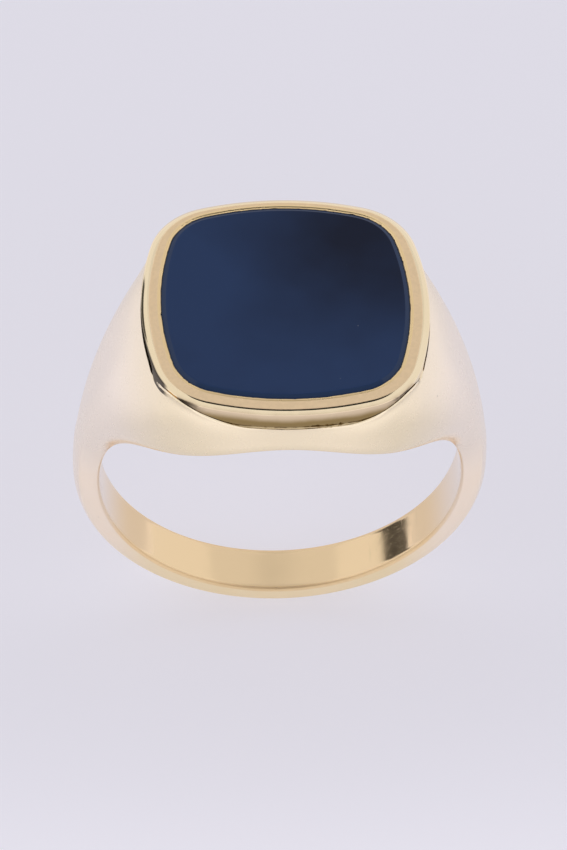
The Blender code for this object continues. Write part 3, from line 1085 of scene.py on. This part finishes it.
@dataclass
class RingBody(Piece):
    """The cast body: a hoop that grows into shoulders and a head with a flat seat."""

    name: str = "polished_body"
    node: str = "ring_body"
    slot: str = "yellow_gold"
    hoop_half_width: float = 1.46 * MM
    edge_thickness: float = 0.55 * MM
    edge_break: float = 0.22 * MM
    slope: float = radians(52.2)
    upper_pull: float = 2.20 * MM
    lower_pull: float = 5.87 * MM
    crest_end: float = radians(75.0)
    crest_power: float = 1.12
    softness: float = 0.45 * MM
    ease: float = 1.26 * MM
    ease_angle: float = radians(39.4)
    ease_spread: float = radians(17.0)
    taper_beyond: float = radians(20.7)
    taper_power: float = 3.44
    wall_draft: float = 0.04 * MM
    seat_stations: int = 26
    shoulder_stations: int = 44
    hoop_stations: int = 44
    wall_steps: int = 16
    top_steps: int = 10
    bore_steps: int = 6
    clear_of_seat: float = 0.12 * MM
    rubs: int = 26
    rub_above: float = 2.5 * MM
    clear_of_edge: float = 0.05 * MM
    pull_from: float = 0.88
    pull_over: float = 0.12
    pull_depth: float = 3.6 * MM
    climb_over: float = 0.8 * MM
    opening_inset: float = 1.0 * MM
    opening_overlap: float = 0.5 * MM
    collar: Collar = field(default_factory=Collar)

    def __post_init__(self) -> None:
        """Work out the angles that follow from the head's size."""
        size = self.sizes
        self.edge_angle = atan(size.head.half_length / size.seat_z)
        self.taper = self.edge_angle + self.taper_beyond
        self.fall = hypot(size.head.half_length, size.seat_z) * tan(self.slope - self.edge_angle)
        self.seam_angle = asin(SEAM_HALF / size.bore)

    def half_width(self, angle: float) -> float:
        """Half the ring's width at the bore.

        Args:
            angle: the angle from the top, round the finger hole.

        Returns:
            The half width.
        """
        head = self.sizes.head.half_width - self.wall_draft
        share = exp(-((angle / self.taper) ** self.taper_power))
        return self.hoop_half_width + (head - self.hoop_half_width) * share

    def crest_point(self, share: float) -> Pair:
        """A point on the shoulder's crest, as (x, z).

        Args:
            share: how far down the shoulder, from 0 to 1.

        Returns:
            The point.
        """
        side = self.sizes.side
        start = (self.sizes.head.half_length, self.sizes.seat_z)
        leave = (start[0] + self.upper_pull * cos(self.slope), start[1] - self.upper_pull * sin(self.slope))
        corners = (start, leave, (side, self.lower_pull), (side, 0.0))
        rest = 1 - share
        weights = (rest**3, 3 * rest**2 * share, 3 * rest * share**2, share**3)
        x = sum(w * c[0] for w, c in zip(weights, corners))
        z = sum(w * c[1] for w, c in zip(weights, corners))
        return x, z

    def crest_flat(self, angle: float) -> float:
        """Half the flat along the shoulder's crest."""
        share = (angle - self.edge_angle) / (self.crest_end - self.edge_angle)
        return self.sizes.head.corner[1] * max(1 - share, 0.0) ** self.crest_power

    def hoop_radius(self, angle: float) -> float:
        """The hoop's outer radius below the shoulders."""
        size = self.sizes
        return size.bottom + (size.side - size.bottom) * sin(angle) ** 2

    def stations(self) -> list[Point]:
        """(angle, outer radius, half flat) from the middle of the head to the seam.

        Returns:
            The stations in order.
        """
        size = self.sizes
        found: list[Point] = []
        for step in range(self.seat_stations):
            angle = self.edge_angle * step / self.seat_stations
            x = size.seat_z * tan(angle)
            found.append((angle, hypot(x, size.seat_z), size.head.half_width_at(x)))
        for step in range(self.shoulder_stations + 1):
            x, z = self.crest_point(step / self.shoulder_stations)
            angle = atan2(x, z)
            found.append((angle, hypot(x, z), self.crest_flat(angle)))
        last = pi - self.seam_angle
        for step in range(1, self.hoop_stations + 1):
            angle = pi / 2 + (last - pi / 2) * step / self.hoop_stations
            found.append((angle, self.hoop_radius(angle), 0.0))
        return found

    def leaning(self, angle: float, outer: float) -> float:
        """The radius that a wall leans on, with the seat's edge rounded off.

        Args:
            angle: the angle from the top.
            outer: the outer radius there.

        Returns:
            The radius.
        """
        size = self.sizes
        seat = size.seat_z / max(cos(angle), 0.05)
        fall = self.fall * (angle - self.edge_angle)
        shoulder = outer if angle > self.edge_angle else size.seat_z / cos(self.edge_angle) - fall
        nearer = min(seat, shoulder)
        ease = self.ease * exp(-(((angle - self.ease_angle) / self.ease_spread) ** 2))
        return nearer - self.softness * log(1 + exp(-abs(seat - shoulder) / self.softness)) - ease

    def section(self, angle: float, outer: float, flat: float) -> list[Pair]:
        """The closed section at an angle, as (y, radius) points.

        Args:
            angle: the angle from the top.
            outer: the outer radius there.
            flat: half the flat along the crest.

        Returns:
            The section's points in order.
        """
        width = self.half_width(angle)
        bore = self.sizes.bore
        edge = bore + self.edge_thickness
        lean = self.leaning(angle, outer)
        side: list[Pair] = []
        for step in range(self.bore_steps + 1):
            side.append(((width - self.edge_break) * step / self.bore_steps, bore))
        for step in range(1, 4):
            turn = pi / 2 * step / 3
            y = width - self.edge_break * (1 - sin(turn))
            side.append((y, bore + self.edge_break * (1 - cos(turn))))
        for step in range(self.wall_steps + 1):
            share = step / self.wall_steps
            radius = edge * (1 - share) ** 2 + 2 * lean * share * (1 - share) + outer * share**2
            side.append((width - (width - flat) * share**2, radius))
        for step in range(1, self.top_steps + 1):
            side.append((flat * (1 - step / self.top_steps), outer))
        return side + [(-y, r) for y, r in side[-2:0:-1]]

    def build(self) -> bpy.types.Object:
        """Carry the section round the finger hole, then cut the pocket and the open back.

        Returns:
            The body.
        """
        half = self.stations()
        rows: list[list[Point]] = []
        for angle, outer, flat in half[:0:-1]:
            rows.append(self.placed(-angle, self.section(angle, outer, flat)))
        for angle, outer, flat in half:
            rows.append(self.placed(angle, self.section(angle, outer, flat)))
        piece = Bench.first_loop(self.name, rows[0])
        Bench.carry(piece, rows[1:])
        Bench.close(piece, Ends.CAPPED)
        self.weld(piece)
        self.follow_frame(piece)
        self.ease_shoulders(piece)
        self.raise_collar(piece)
        self.hollow(piece)
        Bench.shade(piece, radians(28))
        return piece

    @staticmethod
    def placed(angle: float, points: Iterable[Pair]) -> list[Point]:
        """Stand a section up at its angle round the bore."""
        return [(r * sin(angle), y, r * cos(angle)) for y, r in points]

    @staticmethod
    def weld(piece: bpy.types.Object) -> None:
        """Merge the crest's points where its flat has run out.

        Args:
            piece: the body's object.
        """
        Bench.pick(piece)
        bpy.ops.object.mode_set(mode="EDIT")
        bpy.ops.mesh.select_all(action="SELECT")
        bpy.ops.mesh.remove_doubles(threshold=WELD)
        Bench.close_edit()

    def follow_frame(self, piece: bpy.types.Object) -> None:
        """Draw the shoulders' tops in, so that they start along the frame's bulging sides.

        Args:
            piece: the body's object.
        """
        head = self.sizes.head
        _, cy = head.corner
        arc_radius, _ = head.side_arc(cy)
        reach = arc_radius + head.corner_radius
        for vertex in piece.data.vertices:
            x, y, z = vertex.co
            sideways = (abs(x) - self.pull_from * head.half_length) / (self.pull_over * head.half_length)
            upwards = (z - self.sizes.seat_z + self.pull_depth) / self.pull_depth
            if sideways <= 0.0 or upwards <= 0.0:
                continue
            short = reach - sqrt(reach**2 - min(abs(y), cy) ** 2)
            pull = short * eased(sideways) * eased(upwards)
            vertex.co.x = x - pull if x > 0.0 else x + pull

    def raise_collar(self, piece: bpy.types.Object) -> None:
        """Lift the surface round the frame, fading outwards.

        Args:
            piece: the body's object.
        """
        head = self.sizes.head
        low = self.sizes.bore + self.edge_thickness
        for vertex in piece.data.vertices:
            x, y, z = vertex.co
            outside = head.beyond(x, y)
            if hypot(x, z) < low or z < 0.0:
                continue
            fading = exp(-((max(outside, 0.0) / self.collar.fade) ** 2))
            rising = eased(1.0 + outside / self.collar.rise) * eased((hypot(x, z) - low) / self.climb_over)
            vertex.co.z = z + self.collar.climb(x, y) * fading * rising

    def ease_shoulders(self, piece: bpy.types.Object) -> None:
        """Rub the ridges of the shoulders down, clear of the seat, the bore and the edges.

        Args:
            piece: the body's object.
        """
        top = self.sizes.seat_z - self.clear_of_seat
        inner = self.sizes.bore + self.edge_thickness + self.clear_of_edge
        for vertex in piece.data.vertices:
            x, _, z = vertex.co
            vertex.select = self.rub_above < z < top and hypot(x, z) > inner
        selected = [vertex.index for vertex in piece.data.vertices if vertex.select]
        Bench.pick(piece)
        bpy.ops.object.mode_set(mode="EDIT")
        bpy.ops.mesh.select_mode(type="VERT")
        bpy.ops.mesh.select_all(action="DESELECT")
        shape = bmesh.from_edit_mesh(piece.data)
        shape.verts.ensure_lookup_table()
        for index in selected:
            shape.verts[index].select = True
        shape.select_flush_mode()
        bmesh.update_edit_mesh(piece.data)
        bpy.ops.mesh.vertices_smooth(factor=0.5, repeat=self.rubs)
        Bench.close_edit()

    def hollow(self, piece: bpy.types.Object) -> None:
        """Cut the pocket for the ledge and the opening at the back of the stone.

        Args:
            piece: the body's object.
        """
        size = self.sizes
        floor = size.ledge_low_z - JOINT_GAP
        pocket = self.plug("pocket", size.lip_outer + JOINT_GAP, floor, size.seat_z + MM)
        Bench.cut(piece, pocket)
        inset = size.lip_outer - self.opening_inset
        Bench.cut(piece, self.plug("opening", inset, 0.0, floor + self.opening_overlap))

    def plug(self, name: str, offset: float, low: float, high: float) -> bpy.types.Object:
        """An upright cushion-shaped cutter.

        Args:
            name: the cutter's name.
            offset: how far outside the stone's outline it reaches.
            low: its foot's height.
            high: its top's height.

        Returns:
            The cutter.
        """
        stone = self.sizes.stone
        cutter = Bench.first_loop(name, stone.outline(offset, low))
        Bench.carry(cutter, [stone.outline(offset, high)])
        Bench.close(cutter, Ends.CAPPED)
        return cutter


@dataclass
class SeamSolder(Piece):
    """The wafer that closes the hoop at the bottom."""

    name: str = "sizing_seam"
    node: str = "hoop_seam_solder"
    slot: str = "gold_solder"

    def build(self) -> bpy.types.Object:
        """Carry the hoop's bottom section a hair's breadth.

        Returns:
            The new object.
        """
        body = RingBody(self.sizes)
        section = body.section(pi, body.hoop_radius(pi), 0.0)
        distinct: list[Pair] = []
        for point in section:
            if not distinct or hypot(point[0] - distinct[-1][0], point[1] - distinct[-1][1]) > WELD:
                distinct.append(point)
        rows = [body.placed(pi + share * body.seam_angle, distinct) for share in (-1.0, 0.0, 1.0)]
        return self.skin(rows, Ends.CAPPED, radians(32))


@dataclass
class BezelFrame(Piece):
    """The cushion frame: a lapped flat rim, a rolled outer edge and a foot that tucks in."""

    name: str = "rolled_frame"
    node: str = "bezel_frame"
    slot: str = "rim_gold"
    flat_half_length: float = 7.06 * MM
    flat_half_width: float = 7.08 * MM
    flat_shift: float = -0.10 * MM
    roll_height: float = 0.25 * MM
    roll_start: float = radians(12.0)
    roll_end: float = radians(50.0)
    foot_tuck: float = 0.05 * MM
    left_groove: float = 0.30 * MM
    right_groove: float = 0.02 * MM
    left_start: float = 6.9 * MM
    left_reach: float = 0.5 * MM
    right_start: float = 5.6 * MM
    right_reach: float = 1.0 * MM
    cut_end_y: float = 0.8 * MM
    cut_fade: float = 2.4 * MM
    front_roll: float = 0.84
    wide_roll: float = 0.96
    front_reach: float = 7.0 * MM
    flat_shares: tuple[float, ...] = (0.04, 0.5, 0.96)
    wall_power: float = 0.9
    cut_quickness: float = 1.6
    roll_steps: int = 22
    foot_steps: int = 12

    def build(self) -> bpy.types.Object:
        """Skin the inner wall, the flat, the roll and the foot as one closed band.

        Returns:
            The new object.
        """
        size = self.sizes
        inset = size.lip_outer + JOINT_GAP
        inner_top = size.stone.outline(inset, size.rim_z)
        inner_low = size.stone.outline(inset, size.frame_foot_z)
        head = size.head
        growth = (self.flat_half_length + self.flat_half_width - head.half_length - head.half_width) / 2
        corner = head.corner_radius + growth
        flat = Cushion(self.flat_half_length, self.flat_half_width, corner, head.bulge, self.flat_shift)
        edge = flat.outline(0.0, size.rim_z)
        loops = [inner_low, inner_top]
        loops += [self.between(inner_top, edge, share) for share in self.flat_shares]
        loops += self.roll(edge)
        loops += self.foot(edge)
        return self.skin(loops, Ends.JOINED, radians(40))

    @staticmethod
    def between(first: list[Point], second: list[Point], share: float) -> list[Point]:
        """A loop part of the way from one loop to another."""
        return [tuple(Vector(a).lerp(Vector(b), share)) for a, b in zip(first, second)]

    def roll_share(self, y: float) -> float:
        """How far across its width the roll reaches: a little less along the front."""
        return self.wide_roll - (self.wide_roll - self.front_roll) * eased(-y / self.front_reach)

    def undercut(self, x: float, y: float) -> float:
        """How far the foot is cut back: a groove down the left side, and a trace of one on the right.

        Args:
            x: the place's x.
            y: the place's y.

        Returns:
            The depth of the cut.
        """
        left = self.left_groove * eased((-x - self.left_start) / self.left_reach)
        right = self.right_groove * eased((x - self.right_start) / self.right_reach)
        return (left + right) * (1.0 - eased((y - self.cut_end_y) / self.cut_fade))

    def roll(self, edge: list[Point]) -> list[list[Point]]:
        """Loops over the filed roll, from the flat's edge to the top of the wall.

        Args:
            edge: the flat's outer edge.

        Returns:
            The loops, from the flat outwards.
        """
        size = self.sizes
        outer = size.head.outline(0.0, size.rim_z)
        reach = sin(self.roll_end) - sin(self.roll_start)
        fall = cos(self.roll_start) - cos(self.roll_end)
        loops: list[list[Point]] = []
        for step in range(self.roll_steps + 1):
            tilt = self.roll_start + (self.roll_end - self.roll_start) * step / self.roll_steps
            share = (sin(tilt) - sin(self.roll_start)) / reach
            drop = self.roll_height * (cos(self.roll_start) - cos(tilt)) / fall
            loops.append([self.filed(a, b, share, size.rim_z - drop) for a, b in zip(edge, outer)])
        return loops

    def filed(self, flat: Point, rim: Point, share: float, z: float) -> Point:
        """A point of the roll, a share of the way across it."""
        across = Vector(flat).lerp(Vector(rim), share * self.roll_share(rim[1]))
        return across.x, across.y, z

    def foot(self, edge: list[Point]) -> list[list[Point]]:
        """Loops round the roll's lower turn and down the wall to the tucked foot.

        Args:
            edge: the flat's outer edge.

        Returns:
            The loops, downwards.
        """
        size = self.sizes
        start = size.rim_z - self.roll_height
        outer = size.head.outline(0.0, start)
        loops: list[list[Point]] = []
        for step in range(1, self.foot_steps + 1):
            share = step / self.foot_steps
            z = start + (size.frame_foot_z - start) * share
            low = size.head.outline(-self.foot_tuck * share**3, z)
            loop: list[Point] = []
            for a, b, c in zip(edge, outer, low):
                top = Vector(self.filed(a, b, 1.0, z))
                wall = top.lerp(Vector(c), share**self.wall_power)
                inward = self.undercut(b[0], b[1]) * eased(self.cut_quickness * share)
                loop.append(pushed((wall.x, wall.y, z), -inward))
            loops.append(loop)
        return loops


@dataclass
class FrameSolder(Piece):
    """The ragged fillet of solder in the crease between the body's seat and the frame."""

    name: str = "crease_solder"
    node: str = "frame_solder"
    slot: str = "gold_solder"
    wander: float = 0.05 * MM
    spill: float = 0.06 * MM
    spill_x: float = 2.1 * MM
    spill_reach: float = 0.8 * MM
    slow_size: float = 0.55 * MM
    quick_size: float = 0.12 * MM
    fine: tuple[int, int] = (90, 60)

    def build(self) -> bpy.types.Object:
        """A band that fills the joint, with a lower edge that creeps over the seat's edge.

        Returns:
            The new object.
        """
        size = self.sizes
        inset = size.lip_outer + JOINT_GAP
        seat, foot = size.seat_z, size.frame_foot_z
        loops = [size.stone.outline(inset, z, *self.fine) for z in (foot, seat)]
        profile = [(-0.10, seat), (-0.025, seat + 0.01 * MM), (-0.03, foot - 0.01 * MM)]
        profile += [(-0.08, foot), (-0.14, foot + 0.02 * MM), (-0.24, foot)]
        for index, (offset, z) in enumerate(profile):
            loop = size.head.outline(offset * MM, z, *self.fine)
            loops.append(self.ragged(loop, 1.0 if index < 3 else 0.3))
        return self.skin(loops, Ends.JOINED, radians(60))

    def ragged(self, loop: list[Point], share: float) -> list[Point]:
        """The loop moved up and down, and in and out, as solder that has crept and pulled back.

        Args:
            loop: the even loop.
            share: how much of the full movement it makes.

        Returns:
            The ragged loop.
        """
        moved: list[Point] = []
        for x, y, z in loop:
            slow = noise.noise(Vector((x, y, 0.0)) / self.slow_size)
            quick = noise.noise(Vector((x, y, z)) / self.quick_size)
            push = share * self.wander * (0.25 * slow + 0.35 * quick)
            lift = share * self.wander * (0.9 * slow + 0.8 * quick)
            if y < 0.0:
                spilt = share * exp(-(((x - self.spill_x) / self.spill_reach) ** 2))
                push += spilt * self.spill * (0.6 + 1.6 * quick)
            moved.append(pushed((x, y, z), push, lift))
        return moved


@dataclass
class BearingLedge(Piece):
    """The ring-shaped seat that carries the stone."""

    name: str = "stone_ledge"
    node: str = "bearing_ledge"
    slot: str = "yellow_gold"
    width: float = 0.85 * MM
    edge_break: float = 0.08 * MM

    def build(self) -> bpy.types.Object:
        """A square-edged band with its inner corners broken.

        Returns:
            The new object.
        """
        size = self.sizes
        inner = size.lip_outer - self.width
        outer = size.lip_outer
        low, high = size.ledge_low_z, size.ledge_high_z
        ease = self.edge_break
        profile = [(outer, high), (outer, low), (inner + ease, low)]
        profile += arc((inner + ease, low + ease), (-ease, -ease), radians(90), 0.0, 4)[1:]
        profile += arc((inner + ease, high - ease), (-ease, ease), 0.0, radians(90), 4)
        loops = [size.stone.outline(offset, z) for offset, z in profile]
        return self.skin(loops, Ends.JOINED, radians(40))


@dataclass
class CementBed(Piece):
    """The cement that squeezes a little from under the stone."""

    name: str = "stone_cement"
    node: str = "cement_bed"
    slot: str = "cement"
    width: float = 0.56 * MM
    wander: float = 0.10 * MM
    lump_size: float = 0.9 * MM

    def build(self) -> bpy.types.Object:
        """A thin band with a wandering inner edge.

        Returns:
            The new object.
        """
        size = self.sizes
        low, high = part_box("cement_bed")
        outer = high.x - size.stone.half_length
        inner = outer - self.width
        loops = [size.stone.outline(outer, z) for z in (high.z, low.z)]
        for z in (low.z, (low.z + high.z) / 2, high.z):
            loops.append(self.squeezed(size.stone.outline(inner, z)))
        return self.skin(loops, Ends.JOINED, radians(40))

    def squeezed(self, loop: list[Point]) -> list[Point]:
        """The loop moved in and out, as cement that has squeezed out.

        Args:
            loop: the even loop.

        Returns:
            The wandering loop.
        """
        moved: list[Point] = []
        for x, y, z in loop:
            push = noise.noise(Vector((x, y, 0.0)) / self.lump_size) * self.wander
            moved.append(pushed((x, y, z), push))
        return moved


@dataclass
class BezelLip(Piece):
    """The thin strip round the stone, burnished over its bevel by hand, with small nicks."""

    name: str = "burnished_lip"
    node: str = "bezel_lip"
    slot: str = "fine_gold"
    nick: float = 0.055 * MM
    slow_size: float = 0.7 * MM
    quick_size: float = 0.16 * MM
    bevel_drop: float = 0.16 * MM
    fine: tuple[int, int] = (90, 60)
    nicked_rows: tuple[int, ...] = (7, 8, 9)

    def build(self) -> bpy.types.Object:
        """Run the profile round the stone and let its inner edge wander.

        Returns:
            The new object.
        """
        size = self.sizes
        low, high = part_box("bezel_lip")
        foot, crown = low.z, high.z
        inner, outer = size.lip_inner, size.lip_outer
        rim_wall = outer + JOINT_GAP
        bevel_foot = size.table_z - self.bevel_drop
        top = size.rim_z
        profile: list[Pair] = [(inner, foot), (outer, foot), (outer, top - 0.2 * MM)]
        profile += [(rim_wall, top - 0.1 * MM), (rim_wall, top)]
        profile += [(outer - 0.03 * MM, top + 0.010 * MM), (0.11 * MM, crown)]
        profile += [(0.06 * MM, crown - 0.015 * MM), (0.02 * MM, crown - 0.045 * MM)]
        profile += [(0.0, bevel_foot + 0.048 * MM), (inner, bevel_foot)]
        loops: list[list[Point]] = []
        for index, (offset, z) in enumerate(profile):
            loop = size.stone.outline(offset, z, *self.fine)
            loops.append(self.nicked(loop) if index in self.nicked_rows else loop)
        return self.skin(loops, Ends.JOINED, radians(50))

    def nicked(self, loop: list[Point]) -> list[Point]:
        """The loop with small dents where the burnisher slipped.

        Args:
            loop: the even loop.

        Returns:
            The dented loop.
        """
        moved: list[Point] = []
        for x, y, z in loop:
            place = Vector((x, y, 0.0))
            slow = noise.noise(place / self.slow_size)
            quick = noise.noise(place / self.quick_size)
            dent = max(slow, 0.0) * 0.6 + max(quick - 0.25, 0.0) * 1.4
            moved.append(pushed((x, y, z), self.nick * dent))
        return moved


@dataclass
class SealStone(Piece):
    """The flat stone with its narrow bevel."""

    name: str = "polished_stone"
    node: str = "seal_stone"
    slot: str = "navy_stone"
    bevel_width: float = 0.34 * MM
    bevel_drop: float = 0.16 * MM
    back_break: float = 0.08 * MM
    soften: float = 0.05 * MM

    def build(self) -> bpy.types.Object:
        """Stack outlines from the back to the table and close both ends.

        Returns:
            The new object.
        """
        size = self.sizes
        table = GIRDLE - self.bevel_width
        soften = self.soften
        profile: list[Pair] = [
            (GIRDLE - self.back_break, size.back_z),
            (GIRDLE, size.back_z + self.back_break),
            (GIRDLE, size.table_z - self.bevel_drop),
            (table + soften, size.table_z - 0.22 * soften),
            (table + 0.4 * soften, size.table_z - 0.06 * soften),
            (table - 0.4 * soften, size.table_z),
            (table - 4 * soften, size.table_z),
        ]
        loops = [size.stone.outline(offset, z) for offset, z in profile]
        return self.skin(loops, Ends.CAPPED, radians(20))


# ---------------------------------------------------------------------------
# Studio
# ---------------------------------------------------------------------------


@dataclass(frozen=True)
class View:
    """Where the camera stands: angles in degrees, lengths in metres."""

    elevation: float = 50.50
    azimuth: float = -3.63
    roll: float = 2.24
    distance: float = 0.24125
    target: Point = (0.125 * MM, -0.239 * MM, 3.213 * MM)
    focal_length: float = 191.0
    sensor: float = 36.0

    def matrix(self) -> Matrix:
        """The camera's place and turn.

        Returns:
            The camera's matrix in the world.
        """
        rise = radians(self.elevation)
        swing = radians(self.azimuth)
        back = Vector((sin(swing) * cos(rise), -cos(swing) * cos(rise), sin(rise)))
        right = (-back).cross(Vector((0.0, 0.0, 1.0))).normalized()
        up = right.cross(-back)
        lean = radians(self.roll)
        turned_right = cos(lean) * right + sin(lean) * up
        turned_up = -sin(lean) * right + cos(lean) * up
        axes = Matrix((turned_right, turned_up, back)).transposed().to_4x4()
        return Matrix.Translation(Vector(self.target) + back * self.distance) @ axes


@dataclass
class Studio:
    """A pale table inside a white tent, with the few dark gaps that polished gold picks up."""

    floor_z: float
    view: View = field(default_factory=View)
    floor_size: float = 2.4
    card: Point = (0.43, 0.425, 0.45)
    card_drift: Point = (0.45, 0.445, 0.47)
    glow: Point = (0.449, 0.440, 0.488)
    near_y: Pair = (-50.0 * MM, -5.0 * MM)
    near_strength: float = 1.60
    side_x: Pair = (20.0 * MM, 55.0 * MM)
    side_strength: float = 0.35

    def build(self) -> None:
        """Make the floor, the tent and the camera."""
        self.table()
        self.tent()
        self.camera()

    def table(self) -> None:
        """The surface that the ring stands on; it glows as painted light, more in front of the ring and
        towards the sides.
        """
        Bench.clear_selection()
        bpy.ops.mesh.primitive_plane_add(size=self.floor_size, location=(0.0, 0.0, self.floor_z))
        floor = bpy.context.object
        floor.name = "table"
        nodes = Nodes("table_card")
        shade = nodes.cloud((0.02, 0.02, 0.02), detail=1.0)
        nodes.feed("Base Color", nodes.mix(shade, self.card, self.card_drift))
        # painted light: the table card glows, brighter in front of the ring and towards the sides
        nodes.set("Emission Color", (*self.glow, 1.0))
        nearer = nodes.spread(nodes.axis(Axis.Y), *self.near_y, self.near_strength, 1.0)
        sideways = nodes.squared(nodes.axis(Axis.X))
        further = nodes.spread(sideways, *squares(self.side_x), 0.0, self.side_strength)
        nodes.feed("Emission Strength", nodes.sum(nearer, further))
        nodes.set("Roughness", 0.9)
        nodes.set("Specular IOR Level", 0.1)
        floor.data.materials.append(nodes.material)

    def tent(self) -> None:
        """White all round, with soft dark gaps in front, above and behind."""
        world = bpy.data.worlds.new("tent")
        bpy.context.scene.world = world
        world.use_nodes = True
        TentLight(world.node_tree).build()

    def camera(self) -> None:
        """The camera, level with nothing else in shot."""
        data = bpy.data.cameras.new("camera")
        data.lens = self.view.focal_length
        data.sensor_width = self.view.sensor
        data.clip_start = 0.01
        camera = bpy.data.objects.new("camera", data)
        camera.matrix_world = self.view.matrix()
        bpy.context.collection.objects.link(camera)
        bpy.context.scene.camera = camera


@dataclass(frozen=True)
class Gap:
    """A dimmer or brighter panel of the tent, seen from the ring.

    Its reach is given in degrees from its middle to its edges, sideways and upwards.
    """

    direction: Point
    sideways: float
    upwards: float
    soft: float
    light: float
    shape: PanelShape = PanelShape.SQUARE

    def axes(self) -> tuple[Vector, Vector, Vector]:
        """The panel's middle, its sideways axis and its upward axis.

        Returns:
            The three directions.
        """
        middle = Vector(self.direction).normalized()
        across = Vector((1.0, 0.0, 0.0))
        if abs(middle.x) > 0.5:
            across = Vector((0.0, 0.0, 1.0)).cross(middle).normalized()
        up = middle.cross(across).normalized()
        return middle, up.cross(middle).normalized(), up


class TentLight(NodeWriter):
    """The tent's light as a world shader: white, with dimmer and brighter panels multiplied in."""

    WHITE: Point = (0.86, 0.845, 0.89)
    GAPS: tuple[Gap, ...] = (
        Gap((-0.52, 0.64, 0.56), 24.0, 22.0, 0.30, 1.22),
        Gap((0.60, 0.64, 0.42), 24.0, 28.0, 0.30, 1.22),
        Gap((0.0, -0.97, 0.22), 72.0, 20.0, 0.30, 1.58),
        Gap((0.05, 0.66, 0.75), 33.0, 19.0, 0.12, 0.72),
        Gap((0.06, -0.20, 0.98), 31.0, 27.5, 0.10, 0.02, PanelShape.ROUND),
        Gap((-0.76, 0.64, 0.08), 8.0, 11.0, 0.15, 0.08),
    )

    def build(self) -> None:
        """Multiply the panels into the white and feed the background."""
        background = self.tree.nodes["Background"]
        coordinates = self.tree.nodes.new("ShaderNodeTexCoord")
        level: Socket | None = None
        for gap in self.GAPS:
            value = self.gap_level(gap, coordinates.outputs["Generated"])
            level = value if level is None else self.product(level, value)
        black: Point = (0.0, 0.0, 0.0)
        self.link(self.mix(level, black, self.WHITE), background.inputs["Color"])
        background.inputs["Strength"].default_value = 1.0

    def gap_level(self, gap: Gap, direction: Socket) -> Socket:
        """How a panel changes the light.

        Args:
            gap: the panel.
            direction: the direction that the light comes from.

        Returns:
            1 outside the panel, falling or rising to its own light inside.
        """
        middle, across, up = gap.axes()
        sideways = self.share(direction, across, sin(radians(gap.sideways)))
        upwards = self.share(direction, up, sin(radians(gap.upwards)))
        if gap.shape is PanelShape.ROUND:
            reach = self.sum(self.squared(sideways), self.squared(upwards))
        else:
            reach = self.math("MAXIMUM", sideways, upwards)
        inside = self.spread(reach, 1.0 - gap.soft, 1.0 + gap.soft, 1.0, 0.0)
        facing = self.spread(self.dot(direction, middle), 0.0, 0.05, 0.0, 1.0)
        return self.spread(self.product(inside, facing), 0.0, 1.0, 1.0, gap.light)

    def share(self, direction: Socket, axis: Vector, reach: float) -> Socket:
        """How far a direction leans along an axis, as a share of the reach."""
        return self.size_of(self.dot(direction, axis / reach))

    def dot(self, direction: Socket, axis: Vector) -> Socket:
        """Scalar product of the direction with an axis.

        Args:
            direction: the direction.
            axis: the axis.

        Returns:
            The product.
        """
        node = self.tree.nodes.new("ShaderNodeVectorMath")
        node.operation = "DOT_PRODUCT"
        node.inputs[1].default_value = axis
        self.link(direction, node.inputs[0])
        return node.outputs["Value"]


def main() -> None:
    """Build every piece of the ring and the studio round it."""
    logging.basicConfig(level=logging.INFO, format="%(name)s %(message)s")
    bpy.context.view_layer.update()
    sizes = RingSizes.from_frame()
    gold = BODY_GOLD.material()
    # the solder material carries painted shade of the crease in its dark colour
    solder = SOLDER_AND_CREASE_SHADE.material()
    RingBody(sizes).finish(gold)
    SeamSolder(sizes).finish(SEAM_GOLD.material())
    FrameSolder(sizes).finish(solder)
    BezelFrame(sizes).finish(FRAME_GOLD.material())
    BearingLedge(sizes).finish(LEDGE_GOLD.material())
    CementBed(sizes).finish(CEMENT.material())
    BezelLip(sizes).finish(LIP_GOLD.material())
    SealStone(sizes).finish(NAVY.material())
    Studio(floor_z=-sizes.bottom).build()
    bpy.context.scene.view_settings.view_transform = "Standard"


if __name__ == "__main__":
    main()
